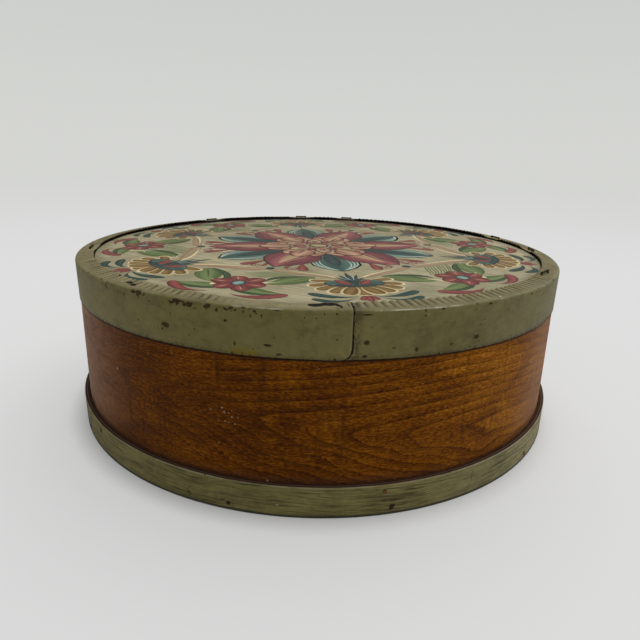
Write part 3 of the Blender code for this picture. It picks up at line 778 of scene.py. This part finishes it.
def make_wall(finish):
    slope = WALL_FLARE / WALL_HIGH.z
    bm = bent_strip(WALL_LAP - WALL_LAP_WIDTH, WALL_LAP_WIDTH, WALL_TIP, WALL_HIGH.z, WALL_THICKNESS,
                    lambda z: WALL_FOOT_RADIUS - slope * z, WALL_ROWS, WALL_EASE)
    shaded(bm, "veneer_wall", [finish], "box", ["side_wall"])


def make_hoop(finish):
    bm = bent_strip(HOOP_LAP, HOOP_LAP_WIDTH, HOOP_TIP, HOOP_HIGH.z, HOOP_THICKNESS,
                    lambda z: HOOP_RADIUS, HOOP_ROWS, HOOP_EASE)
    shaded(bm, "foot_hoop", [finish], "box", ["bottom_hoop"])


def fastener_nodes(*starts):
    return sorted(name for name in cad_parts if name.startswith(starts))


def staple_angles():
    """Where round the lid the driven staples lie."""
    angles = []
    for node in fastener_nodes("flange_staple"):
        low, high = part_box(node)
        angles.append(degrees(atan2(low.y + high.y, low.x + high.x)))
    return angles


DRIVEN = staple_angles()


def away_from(angle, other):
    return abs((angle - other + 180) % 360 - 180)


def standing_share(angle):
    """Share of the flange's rise left at an angle, where it isn't beaten down or pressed by a staple."""
    beaten = BEATEN_SHARE * exp(-((away_from(angle, BEATEN) / BEATEN_SPREAD) ** 4))
    beside = min(away_from(angle, staple) for staple in DRIVEN) - STAPLE_REACH
    return 1 - max(beaten, STAPLE_PRESS * share_between(beside, STAPLE_FADE, 0))


def crest_at(angle, share):
    """1 on the broad back of a pleat, 0 in the groove between two, which curves on its way inwards."""
    wander = PLEAT_WANDER * noise.noise(Vector((angle * 0.5, 0, 0)))
    phase = angle * PLEATS / 360 + wander + PLEAT_CURL * share * share
    return 1 - (0.5 + 0.5 * cos(2 * pi * phase)) ** 2


def pleat_depth_at(angle):
    """How deep the pleats are pressed here, from 0.5 where they are shallow to 1 at the front right."""
    shallow = exp(-((away_from(angle, SHALLOW) / SHALLOW_SPREAD) ** 4))
    return (1 - 0.5 * shallow) * (0.85 + 0.4 * noise.noise(Vector((angle * 0.11, 3.1, 0))))


def pleat_lift(angle, share):
    """How high the flange stands at an angle, share of the way from the bend to its inner edge."""
    standing = standing_share(angle)
    rise = (FLANGE_RISE - 0.45 * PLEAT) * share
    wave = PLEAT * pleat_depth_at(angle) * crest_at(angle, share) * share ** 0.65
    return (rise + wave) * standing - PLEAT_SINK * (1 - standing) * share


def place_on_band(angle, row):
    """Where the tin's row lies at an angle: rows of the skirt, then of the bend, then of the flange."""
    end = SEAM + 360
    climbed = share_between(angle, end - SEAM_LAP - LAP_CLIMB, end - SEAM_LAP)
    lap = climbed * climbed * (3 - 2 * climbed) * (TIN + LAP_GAP)
    top = BAND_TOP - BEND
    if row <= SKIRT_ROWS:
        here = Vector((cos(radians(angle)), sin(radians(angle)), 0.4 * row))
        wobble = SKIRT_STRAY * noise.noise(here * 5)
        left = radians(end - angle) * BAND_RADIUS
        corner = SEAM_CORNER - sqrt(SEAM_CORNER ** 2 - max(0.0, SEAM_CORNER - left) ** 2)
        ragged = FOOT_STRAY * noise.noise(Vector((angle * 1.7, 9.0, 0)))
        foot = BAND_FOOT + FOOT_LIFT + ragged + corner
        z = foot + (top - foot) * row / SKIRT_ROWS
        return on_round(BAND_RADIUS + lap - abs(wobble) * (1 - row / SKIRT_ROWS), angle, z)
    if row <= SKIRT_ROWS + BEND_ROWS:
        turn = radians(90) * (row - SKIRT_ROWS) / BEND_ROWS
        return on_round(BAND_RADIUS - BEND + (BEND + lap) * cos(turn), angle, top + (BEND + lap) * sin(turn))
    share = (row - SKIRT_ROWS - BEND_ROWS) / FLANGE_ROWS
    radius = BAND_RADIUS - BEND + (FLANGE_INNER - BAND_RADIUS + BEND) * share
    return on_round(radius, angle, BAND_TOP + lap + pleat_lift(angle, share))


def make_tin_band(paint, edge):
    """One strip of tin: skirt, bend and pleated flange, its left end lapped over its right end in front."""
    columns = round(PLEATS * COLUMNS_A_PLEAT * (360 + SEAM_LAP) / 360)
    stations = even_places(SEAM - SEAM_LAP, SEAM + 360, columns)
    bm = bmesh.new()
    bm.loops.layers.uv.new("run")
    crest = bm.verts.layers.float.new("crest")
    sheet(bm, columns, SKIRT_ROWS + BEND_ROWS + FLANGE_ROWS,
          lambda column, row: place_on_band(stations[column], row))
    for corner in bm.verts:
        angle = degrees(atan2(corner.co.y, corner.co.x))
        share = share_between(corner.co.xy.length, BAND_RADIUS - BEND, FLANGE_INNER)
        corner[crest] = 1 - (1 - crest_at(angle, share)) * min(1.2 * standing_share(angle), 1)
    face_out(bm)
    if sum(face.normal.xy.dot(face.calc_center_median().xy) for face in bm.faces) < 0:
        bmesh.ops.reverse_faces(bm, faces=bm.faces[:])
    piece = shaded(bm, "tin_band", [paint, edge], "lid", ["lid_tin_band"], 60)
    thick = piece.modifiers.new("tin", "SOLIDIFY")
    thick.thickness = TIN
    thick.offset = -1.0
    thick.material_offset_rim = 1


def make_board(finish):
    """The lid's board: flat up to the flange, falling from there to an eased rim."""
    low, rim, ease = BOARD_LOW.z, BOARD_HIGH.x, BOARD_EASE
    fallen = BOARD_TOP - BOARD_FALL
    profile = [(0, low), (rim - ease, low), (rim, low + ease), (rim, fallen - ease),
               (rim - 0.3 * ease, fallen - 0.3 * ease), (rim - ease, fallen),
               (BOARD_FLAT, BOARD_TOP), (0, BOARD_TOP)]
    shaded(lathe(profile, ROUND_STEPS), "lid_panel", [finish], "lid", ["lid_board"])


def polar(distance, angle):
    return Vector((distance * cos(radians(angle)), distance * sin(radians(angle))))


def pulled(points, share):
    """The point at a share of a curve that runs from the first point to the last, pulled by those between."""
    while len(points) > 1:
        points = [near.lerp(far, share) for near, far in zip(points, points[1:])]
    return points[0]


def stroke(ink, layer, width, swell, *route, steps=9):
    """A brush stroke along the points of its route, each a Vector or (millimetres from the axis, degrees)."""
    return ink, layer, width, swell, [at if isinstance(at, Vector) else polar(*at) for at in route], steps


def outlined(ink, outline, layer, width, swell, root, tip, rim):
    """A straight stroke and the wider one of another colour under it."""
    start, end = polar(*root), polar(*tip)
    beyond = (end - start).normalized() * rim
    return [stroke(outline, layer, width + 2 * rim, swell, start - beyond, end + beyond),
            stroke(ink, layer + 1, width, swell, start, end)]


def both_sides(strokes):
    """The strokes of one side of an axis, mirrored on its other side and then as they are."""
    return [(*look, [Vector((point.x, side * point.y)) for point in route], steps)
            for side in (-1, 1) for *look, route, steps in strokes]


def lay_stroke(by_ink, one, axis, rank, off=(0, 0)):
    """Lays one brush stroke on the board: a thin skin that swells and thins along its route. Outside the
    middle flower it strays from its even place, so many millimetres outwards and so many degrees round."""
    ink, layer, width, (root, tip), route, steps = one
    fullest = root / (root + tip)
    peak = fullest ** root * (1 - fullest) ** tip
    height = BOARD_TOP + PAINT_LAYER * (layer + LIFT_A_STROKE * rank)
    sway = [point + Vector([random.uniform(-HAND_SWAY, HAND_SWAY) for _ in "xy"]) for point in route]

    def place(step, side):
        share = 0.5 - SHORT_OF_ENDS * cos(pi * step / steps)
        ahead = pulled(sway, share + NEARBY) - pulled(sway, share - NEARBY)
        across = Vector((-ahead.y, ahead.x)).normalized()
        half = width / 2 * share ** root * (1 - share) ** tip / peak
        flat = pulled(sway, share) + across * half * (side - 1)
        shift = share_between(flat.length, *FLOWER_ENDS)
        shift *= 1 - RIM_STEADIES * share_between(flat.length, *RIM_STARTS)
        turn = Matrix.Rotation(radians(axis + off[1] * shift), 2)
        flat = turn @ flat * (1 + off[0] * shift / FAN_PLACE)
        return Vector((flat.x * MM, flat.y * MM, height))

    sheet(by_ink[ink], steps, 2, place)


def petal_curl():
    """A crimson tendril beside a petal's tip: a coil drawn in short arcs, and its tail."""
    coil = [polar(93, 8) + polar(4.6 - 0.42 * k, 150 - 58 * k) for k in range(9)]
    arcs = [stroke("crimson", 1, 1.3, EVEN, near, middle * 2 - (near + far) / 2, far, steps=5)
            for near, middle, far in zip(coil[::2], coil[1::2], coil[2::2])]
    return arcs + [stroke("crimson", 1, 3.0, TAIL, (94, 5.3), (86, 5), (78, 9))]


def small_flower():
    """The flower of six round petals between a big petal's tip and the rim."""
    centre = polar(142, 1)
    strokes = []
    for turn in range(30, 390, 60):
        root, tip = centre + polar(3.5, turn), centre + polar(18.2, turn)
        middle = (root + tip) / 2
        strokes += [stroke("shadow", 4, 14.0, ROUND, root, middle, tip + polar(0.5, turn)),
                    stroke("crimson", 5, 12.8, ROUND, root, middle, tip),
                    stroke("peach", 5.5, 1.5, TAIL, tip - polar(3, turn + 12), root + polar(4, turn),
                           steps=5),
                    stroke("shadow", 6, 1.6, TAIL, root, middle + polar(2.5, turn + 40), steps=5)]
    for ink, layer, width, inner, outer in (("night", 7, 9.5, 5.6, 5.2), ("sea", 8, 7.2, 4.4, 4.4)):
        root, tip = centre - polar(inner, 0), centre + polar(outer, 0)
        strokes.append(stroke(ink, layer, width, ROUND, root, tip, steps=7))
    return strokes


def petal_motif():
    """What is painted on the axes of the big crimson petals."""
    return [
        *outlined("rose", "shadow", 3, 42, LEAF, (27, 0), (91, 0), 1.5),
        stroke("shadow", 5, 2.4, TAIL, (40, 8), (66, 7), (86, 1)),
        stroke("peach", 5, 17, WEDGE, (43, 1), (80, -1.5)),
        stroke("shadow", 5.5, 1.4, TAIL, (42, 9.5), (80, -1.0)),
        stroke("straw", 6, 4, WEDGE, (46, -2), (73, -2.5)),
        *both_sides([
            *outlined("peach", "shadow", 7, 17.5, ROUND, (20, 12), (45, 15), 1.5),
            stroke("straw", 9, 4, ROUND, (24, 16), (39, 19)),
            stroke("shadow", 9.5, 1.8, TAIL, (24, 8), (39, 12)),
            stroke("rose", 9.5, 3.0, ROUND, (34, 20), (42, 13)),
        ]),
        *outlined("peach", "shadow", 9, 17.0, ROUND, (25, 0), (50, 0), 1.5),
        stroke("straw", 10.5, 3.6, LINE, (28, 3), (44, 3)),
        stroke("shadow", 10.5, 1.8, TAIL, (26, -6), (46, -3)),
        stroke("rose", 11, 6.5, ROUND, (11, 0), (20, 0)),
        *outlined("petrol", "night", 4, 4.5, ROUND, (95, 0), (101, 0), 0.8),
        *both_sides(petal_curl()),
        *small_flower(),
        *both_sides([
            stroke("green", 2, 14, LEAF, (149, 2.5), (157, 5), (160, 8), (158, 13)),
            stroke("moss", 3, 3.8, TAIL, (157.5, 2), (164.5, 6), (163, 10), (158.5, 14)),
            stroke("crimson", 4, 8.0, HEAD, (165, 2), (172, 5.5), (171.5, 9.5), (158.5, 14)),
        ]),
    ]


def fan_petals(fan):
    """The fan's round petals, from the outer ones in, each in its cream rim."""
    strokes = []
    for turn, width, reach in ((105, 7.8, 28), (79, 8.8, 31), (58, 9.4, 31.5), (38, 9.8, 31.5), (0, 12, 30.5),
                               (19, 10.4, 31)):
        for side in ((-1, 1) if turn else (1,)):
            root, tip = fan + polar(10, side * turn), fan + polar(reach, side * turn)
            for ink, wider, longer in (("cream", 1.5, 0.9), ("ochre", -1.3, -0.5)):
                end = tip + polar(longer, side * turn)
                strokes.append(stroke(ink, 4, width + wider, PETAL, root, end, steps=10))
    return strokes


def fan_cup(fan):
    """The fan's oval cup with crimson in its mouth, and the dark plume that stands in it."""
    def across(out, aside):
        return fan + Vector((out, aside))

    strokes = [stroke("night", 7, 20, ROUND, across(2, -20), across(2, 20), steps=12),
               stroke("teal", 7, 16.5, ROUND, across(1, -18.4), across(1, 18.4), steps=12),
               stroke("night", 7, 5, LINE, across(5, -13), across(13, 0), across(5, 13), steps=10)]
    mouth = stroke("crimson", 8, 7.5, LEAF, across(6, 3), across(1, 8), across(-7, 11), steps=8)
    strokes += both_sides([mouth])
    for turn, reach, width in ((30, 20, 3.0), (-30, 20, 3.0), (15, 25, 3.6), (-15, 25, 3.6), (0, 31, 4.6)):
        strokes.append(stroke("night", 9, width, PLUME, across(8, 0), fan - polar(3, turn * 0.3),
                              across(4, 0) - polar(reach, turn), steps=7))
    for turn in (-8, 9, 23):
        strokes.append(stroke("frost", 9, 0.8, LINE, across(-6, -0.12 * turn), across(4, 0) - polar(21, turn),
                              steps=6))
    return strokes


def fan_stem():
    """A stem from the fan's cup to the next petal's tip: a tan band with a cream line that thins out."""
    return [
        stroke("tan", 1, 7.0, HEAD, (124, 3), (114, 4), (108.5, 13), (105, 21), (100, 29.5), steps=14),
        stroke("cream", 3, 2.4, TAIL, (131, 1.6), (114, 1.4), (105, 10), (103, 20), (98.5, 29.5), steps=14),
        stroke("tan", 3, 1.2, LINE, (119, 6), (111, 10), (110, 18), (104, 29), steps=12),
    ]


def fan_motif():
    """What is painted on the axes of the teal leaves and the shell-like fans."""
    fan = polar(FAN_PLACE, 0)
    return [
        *outlined("teal", "night", 0, 36, (2.0, 1.0), (18, 0), (97, 0), 1.1),
        stroke("night", 2, 12, LEAF, (36, 0), (84, 0)),
        *both_sides([
            *(stroke("frost", 2, 1.1, LINE, (58 + 8 * (1 - inset), 16.2 * inset), (76, 17.5 * inset),
                     (87, 10.5 * inset), (94, 1.2)) for inset in (0.88, 0.73, 0.58)),
            stroke("crimson", 2, 8, HEAD, (72, 19), (84, 19), (98, 15.5)),
            *fan_stem(),
            stroke("green", 2, 18, LEAF, (115, 11), (120, 15), (132, 19.5), (140, 23)),
            stroke("moss", 3, 5.0, (0.8, 0.8), (113.5, 12.5), (119.5, 25), (133, 24.5)),
            stroke("moss", 3, 1.0, TAIL, (117, 12.5), (126, 17), (136, 21)),
            stroke("cream", 4, 3.8, HEAD, (134, 20), (134, 26), (147, 24.5)),
            stroke("petrol", 3, 6.6, HEAD, (159.5, 1.6), (166.5, 6.4), (154, 12.4)),
            stroke("petrol", 3, 5.6, HEAD, (161.5, 2), (177.5, 6.4), (165, 11.4)),
            stroke("crimson", 4, 5.0, ROUND, (158.5, 0), (168, 1.7)),
        ]),
        stroke("crimson", 4, 4.6, ROUND, (159, 0), (171.5, 0)),
        *(stroke("green", 0, 0.9, LINE, (119 + 0.7 * k, 0.9 * k - 35), (111 + 0.6 * k, 1.2 * k - 31),
                 (104.5 + 0.5 * k, 1.4 * k - 24.5)) for k in range(9)),
        stroke("cream", 1, 1.3, LINE, (125.5, -25), (113.3, -21.5), (115.5, -9)),
        *fan_petals(fan),
        *fan_cup(fan),
    ]


def make_ornament():
    """The flowers painted on the lid, one piece for each colour."""
    by_ink = {ink: bmesh.new() for ink in INKS}
    for bm in by_ink.values():
        bm.loops.layers.uv.new("brush")
    for axis, motif, offs in ((PETAL_AXIS, petal_motif(), PETALS_OFF), (FAN_AXIS, fan_motif(), FANS_OFF)):
        for k in range(TIMES_ROUND):
            for rank, one in enumerate(motif):
                lay_stroke(by_ink, one, axis + 360 / TIMES_ROUND * k, rank, offs.get(k, (0, 0)))
    inner_petal = [stroke("shadow", 9.5, 15, ROUND, (10, 0), (30.5, 0)),
                   stroke("straw", 10, 12, ROUND, (11, 0), (29, 0)),
                   stroke("rose", 11, 5, ROUND, (13, 0), (23, 0))]
    for k in range(TIMES_ROUND):
        for one in inner_petal:
            lay_stroke(by_ink, one, FAN_AXIS + 360 / TIMES_ROUND * k, k)
    lay_stroke(by_ink, stroke("shadow", 12, 17, ROUND, (8.5, 180), (8.5, 0)), 0, 0)
    lay_stroke(by_ink, stroke("straw", 13, 13.4, ROUND, (6.8, 180), (6.8, 0)), 0, 0)
    for ink, bm in by_ink.items():
        face_out(bm)
        bmesh.ops.reverse_faces(bm, faces=[face for face in bm.faces if face.normal.z < 0])
        shaded(bm, "ornament_" + ink, [oil_paint(ink + "_oil", *INKS[ink])], "lid")


def make_bottom_boards(finish):
    """Three boards sawn to one round, side by side with their long edges eased."""
    for name in ("front", "middle", "back"):
        node = "bottom_board_" + name
        radius = max(corner.co.xy.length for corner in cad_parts[node].data.vertices)
        low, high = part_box(node)
        bm = bmesh.new()
        bmesh.ops.create_circle(bm, cap_ends=True, radius=radius, segments=ROUND_STEPS)
        for edge_y, sense in ((low.y, -1), (high.y, 1)):
            if abs(edge_y) < JOINT_REACH:
                bmesh.ops.bisect_plane(bm, geom=bm.verts[:] + bm.edges[:] + bm.faces[:],
                                       plane_co=(0, edge_y, 0), plane_no=(0, sense, 0), clear_outer=True)
        grown = bmesh.ops.extrude_face_region(bm, geom=bm.faces[:], use_keep_orig=True)
        corners = [item for item in grown["geom"] if isinstance(item, bmesh.types.BMVert)]
        bmesh.ops.translate(bm, verts=corners, vec=(0, 0, high.z))
        face_out(bm)
        rims = [edge for edge in bm.edges if abs(edge.verts[0].co.z - edge.verts[1].co.z) < 0.1 * MM]
        bmesh.ops.bevel(bm, geom=rims, offset=PLANK_EASE, segments=2, profile=0.5, affect="EDGES",
                        material=-1)
        shaded(bm, "bottom_plank_" + name, [finish], "box", [node])


def make_pins(finish_of):
    """Every nail, brad and tack: a round shank under a low domed head, where its node is."""
    for number, node in enumerate(fastener_nodes("hoop_nail", "hoop_brad", "hoop_lap_brad", "wall_tack"), 1):
        clenched = node.startswith("wall_tack")
        low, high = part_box(node)
        middle = (low + high) / 2
        direction = Vector((middle.x, middle.y, 0)).normalized()
        reach = [corner.co.dot(direction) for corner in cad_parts[node].data.vertices]
        width = (high.z - low.z) / 2 * (1.0 if clenched else NAIL_HEAD_SHARE)
        ends = (min(reach), CLENCHED_POINT if clenched else NAIL_POINT), (max(reach), PIN_HEAD)
        profile = [(share * width, end + up * MM) for end, outline in ends for share, up in outline]
        bm = lathe(profile, PIN_STEPS)
        outward = bm.verts.layers.float.new("outward")
        for corner in bm.verts:
            corner[outward] = corner.co.xy.length / width
        turn = direction.to_track_quat("Z", "X").to_matrix().to_4x4()
        bmesh.ops.transform(bm, matrix=Matrix.Translation((0, 0, middle.z)) @ turn, verts=bm.verts[:])
        shaded(bm, f"iron_pin_{number:02d}", [finish_of(node)], "box", [node], 50)


def dress_staples(finish):
    """The staples stay as they are modelled, under their finish."""
    for node in fastener_nodes("flange_staple", "loose_staple"):
        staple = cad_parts[node]
        staple.data.materials.clear()
        staple.data.materials.append(finish)


def seen_directly(nodes):
    """1 for what the camera, a gloss or a clear body sees, 0 for what lights the object."""
    path = nodes.new("ShaderNodeLightPath")
    camera, *others = (Wire(path.outputs[f"Is {ray} Ray"]) for ray in ("Camera", "Glossy", "Transmission"))
    return camera.either(*others)


def make_backdrop():
    """A pale floor with its shadow, which fades into the pale room around it."""
    bm = bmesh.new()
    bmesh.ops.create_grid(bm, x_segments=1, y_segments=1, size=FLOOR_SIZE)
    floor = in_scene("floor", mesh_of(bm, "floor"))
    material, point = new_finish("floor_paint")
    shade = point.noise(1.5, 2).ramp((0.3, (0.78, 0.78, 0.785)), (0.7, (0.8, 0.8, 0.805)))
    set_surface(material, shade, 0.75)
    nodes = material.node_tree.nodes
    away = point.length()
    glow = point.node("Emission", {"Color": away.step(0.45, 3.2).mix(FLOOR_TONE, ROOM_TONE)})
    faded = away.step(0.3, 1.6) * 0.35 + away.step(HOOP_RADIUS, 0.212) * 0.5 + 0.15
    blend = point.node("MixShader", {0: seen_directly(nodes) * faded,
                                     1: Wire(nodes["Principled BSDF"].outputs[0]), 2: glow})
    feed(nodes["Material Output"].inputs["Surface"], blend)
    floor.data.materials.append(material)


def make_light():
    world = bpy.data.worlds.new("room")
    bpy.context.scene.world = world
    world.use_nodes = True
    nodes = world.node_tree.nodes
    climb = Wire(nodes.new("ShaderNodeTexCoord").outputs["Generated"]).axis(2)
    room = climb.step(0.0, 0.28).mix(ROOM_TONE, ROOM_TONE_ABOVE)
    feed(nodes["Background"].inputs["Color"], seen_directly(nodes).mix(FILL_TONE, room))
    for name, place, strength, spread in WINDOWS:
        lamp = bpy.data.lights.new(name, "SUN")
        lamp.angle = radians(spread)
        lamp.energy = strength
        lamp.color = DAYLIGHT
        holder = in_scene(name, lamp)
        holder.location = place
        holder.rotation_mode = "QUATERNION"
        holder.rotation_quaternion = Vector(place).to_track_quat("Z", "Y")


def make_camera():
    level = Vector((cos(CAMERA_TURN), -sin(CAMERA_TURN), 0))
    forward = Vector((sin(CAMERA_TURN), cos(CAMERA_TURN), 0))
    ahead = forward * cos(CAMERA_DOWN) - Vector((0, 0, sin(CAMERA_DOWN)))
    upright = level.cross(ahead)
    right = level * cos(CAMERA_ROLL) + upright * sin(CAMERA_ROLL)
    up = upright * cos(CAMERA_ROLL) - level * sin(CAMERA_ROLL)
    camera = bpy.data.cameras.new("view")
    camera.sensor_width = SENSOR
    camera.lens = FOCAL_PIXELS / FRAME_PIXELS * SENSOR
    camera.clip_start = CAMERA_NEAREST
    holder = in_scene("view", camera)
    turn = Matrix((right, up, -ahead)).transposed()
    holder.matrix_world = Matrix.Translation(CAMERA_PLACE) @ turn.to_4x4()
    bpy.context.scene.camera = holder


def main():
    bpy.context.scene.view_settings.view_transform = "Standard"
    make_camera()
    make_light()
    make_backdrop()
    black, orange, nail = iron("black_iron", -0.12), iron("orange_iron", 0.09), painted_nail()
    dress_staples(painted_wire())
    pins = {"hoop_nail_02": black, "hoop_nail_03": black, "hoop_brad_01": orange}
    make_wall(varnished_veneer())
    make_hoop(painted_hoop())
    make_tin_band(painted_tin(), raw_tin_edge())
    make_board(painted_board())
    make_ornament()
    make_bottom_boards(bare_board())
    make_pins(lambda node: pins.get(node, orange if node.startswith("wall_tack") else nail))


main()
